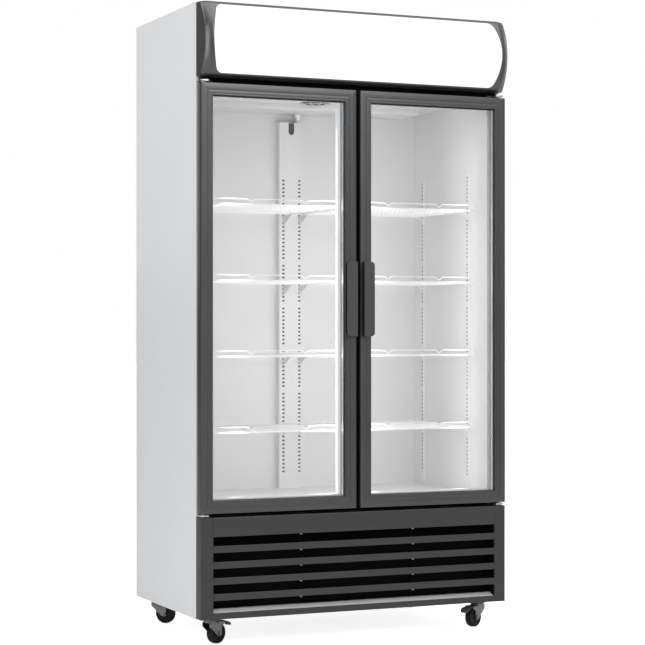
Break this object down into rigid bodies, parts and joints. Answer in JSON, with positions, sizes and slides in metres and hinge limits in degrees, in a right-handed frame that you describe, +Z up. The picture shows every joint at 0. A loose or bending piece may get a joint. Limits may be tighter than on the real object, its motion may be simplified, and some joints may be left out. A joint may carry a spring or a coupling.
{
  "type": "glass door merchandiser",
  "caption": "Upright glass-door merchandiser refrigerator with a lit bowed sign, wire shelves, louvred base grille and swivel casters.",
  "frame": {"origin": "on the floor, below the middle of the object's bounding box", "axes": "+X to the right as seen from the front, -Y out of the doors, +Z up"},
  "size_m": [1.016, 0.632, 1.905],
  "materials": {
    "case_white": "satin",
    "liner_white": "satin",
    "shelf_white": "satin",
    "charcoal_frame": "satin",
    "charcoal_sheet": "satin",
    "sign_black": "satin",
    "sign_white": "satin",
    "lamp_white": "satin",
    "clear_glass": "gloss",
    "seal_grey": "matte",
    "bare_aluminium": "satin",
    "zinc_steel": "satin",
    "wheel_black": "satin",
    "brake_grey": "satin",
    "machine_black": "satin",
    "fan_plastic": "satin",
    "foam": "matte"
  },
  "bodies": {
    "cabinet": {"side_panel_left": "case_white", "side_panel_right": "case_white", "back_panel": "case_white", "top_panel": "case_white", "rear_cover": "case_white", "liner_walls": "liner_white", "floor_panels": "liner_white", "ceiling_panel": "liner_white", "shelf_channel": "liner_white", "shelf_pilasters": "liner_white", "shelf_clips": "liner_white", "opening_frame": "liner_white", "centre_mullion": "liner_white", "drip_tray": "liner_white", "drain_elbow": "liner_white", "fan_guard": "liner_white", "shelf_level_1": "shelf_white", "shelf_level_2": "shelf_white", "shelf_level_3": "shelf_white", "shelf_level_4": "shelf_white", "grille_panel": "charcoal_sheet", "sign_housing": "sign_black", "sign_end_caps": "sign_black", "sign_face": "sign_white", "mullion_lamps": "lamp_white", "sign_lamps": "lamp_white", "cord_gland": "seal_grey", "evaporator_coil": "bare_aluminium", "condenser_coil": "bare_aluminium", "hinge_brackets": "zinc_steel", "caster_plates": "zinc_steel", "fasteners": "zinc_steel", "base_tray": "zinc_steel", "condenser_shroud": "zinc_steel", "compressor": "machine_black", "control_box": "fan_plastic", "condenser_filter": "fan_plastic", "foam_insulation": "foam"},
    "door_left": {"door_left_frame": "charcoal_frame", "door_left_glass": "clear_glass", "door_left_spacer": "bare_aluminium", "door_left_gasket": "seal_grey", "door_left_handle": "charcoal_frame"},
    "door_right": {"door_right_frame": "charcoal_frame", "door_right_glass": "clear_glass", "door_right_spacer": "bare_aluminium", "door_right_gasket": "seal_grey", "door_right_handle": "charcoal_frame"},
    "evaporator_rotor": {"evaporator_fan": "fan_plastic"},
    "condenser_rotor": {"condenser_fan": "fan_plastic"},
    "swivel_front_left": {"caster_fork_front_left": "zinc_steel"},
    "wheel_front_left": {"caster_wheel_front_left": "wheel_black"},
    "brake_front_left": {"caster_brake_front_left": "brake_grey"},
    "swivel_front_right": {"caster_fork_front_right": "zinc_steel"},
    "wheel_front_right": {"caster_wheel_front_right": "wheel_black"},
    "brake_front_right": {"caster_brake_front_right": "brake_grey"},
    "swivel_rear_left": {"caster_fork_rear_left": "zinc_steel"},
    "wheel_rear_left": {"caster_wheel_rear_left": "wheel_black"},
    "swivel_rear_right": {"caster_fork_rear_right": "zinc_steel"},
    "wheel_rear_right": {"caster_wheel_rear_right": "wheel_black"}
  },
  "joints": [
    {"name": "door_left_hinge", "type": "hinge", "parent": "cabinet", "child": "door_left", "pos_m": [-0.494, -0.259, 1.029], "axis": [0, 0, -1], "range_deg": [0, 110], "stiffness_Nm_per_rad": 3},
    {"name": "door_right_hinge", "type": "hinge", "parent": "cabinet", "child": "door_right", "pos_m": [0.494, -0.259, 1.029], "axis": [0, 0, 1], "range_deg": [0, 110], "stiffness_Nm_per_rad": 3},
    {"name": "evaporator_fan_spin", "type": "hinge", "parent": "cabinet", "child": "evaporator_rotor", "pos_m": [0, 0.046, 1.685], "axis": [0, 0, 1], "continuous": true},
    {"name": "condenser_fan_spin", "type": "hinge", "parent": "cabinet", "child": "condenser_rotor", "pos_m": [0.06, -0.116, 0.223], "axis": [0, -1, 0], "continuous": true},
    {"name": "swivel_front_left_turn", "type": "hinge", "parent": "cabinet", "child": "swivel_front_left", "pos_m": [-0.45, -0.205, 0.07], "axis": [0, 0, 1], "continuous": true},
    {"name": "wheel_front_left_spin", "type": "hinge", "parent": "swivel_front_left", "child": "wheel_front_left", "pos_m": [-0.42862, -0.1941, 0.03175], "axis": [-0.454, 0.891, 0], "continuous": true},
    {"name": "brake_front_left_press", "type": "hinge", "parent": "swivel_front_left", "child": "brake_front_left", "pos_m": [-0.41347, -0.18639, 0.064], "axis": [-0.454, 0.891, 0], "range_deg": [0, 12]},
    {"name": "swivel_front_right_turn", "type": "hinge", "parent": "cabinet", "child": "swivel_front_right", "pos_m": [0.45, -0.205, 0.07], "axis": [0, 0, 1], "continuous": true},
    {"name": "wheel_front_right_spin", "type": "hinge", "parent": "swivel_front_right", "child": "wheel_front_right", "pos_m": [0.42901, -0.21664, 0.03175], "axis": [0.4848, -0.8746, 0], "continuous": true},
    {"name": "brake_front_right_press", "type": "hinge", "parent": "swivel_front_right", "child": "brake_front_right", "pos_m": [0.41414, -0.22488, 0.064], "axis": [0.4848, -0.8746, 0], "range_deg": [0, 12]},
    {"name": "swivel_rear_left_turn", "type": "hinge", "parent": "cabinet", "child": "swivel_rear_left", "pos_m": [-0.45, 0.262, 0.07], "axis": [0, 0, 1], "continuous": true},
    {"name": "wheel_rear_left_spin", "type": "hinge", "parent": "swivel_rear_left", "child": "wheel_rear_left", "pos_m": [-0.43274, 0.24533, 0.03175], "axis": [0.6947, 0.7193, 0], "continuous": true},
    {"name": "swivel_rear_right_turn", "type": "hinge", "parent": "cabinet", "child": "swivel_rear_right", "pos_m": [0.45, 0.262, 0.07], "axis": [0, 0, 1], "continuous": true},
    {"name": "wheel_rear_right_spin", "type": "hinge", "parent": "swivel_rear_right", "child": "wheel_rear_right", "pos_m": [0.43556, 0.24283, 0.03175], "axis": [0.7986, -0.6018, 0], "continuous": true}
  ]
}
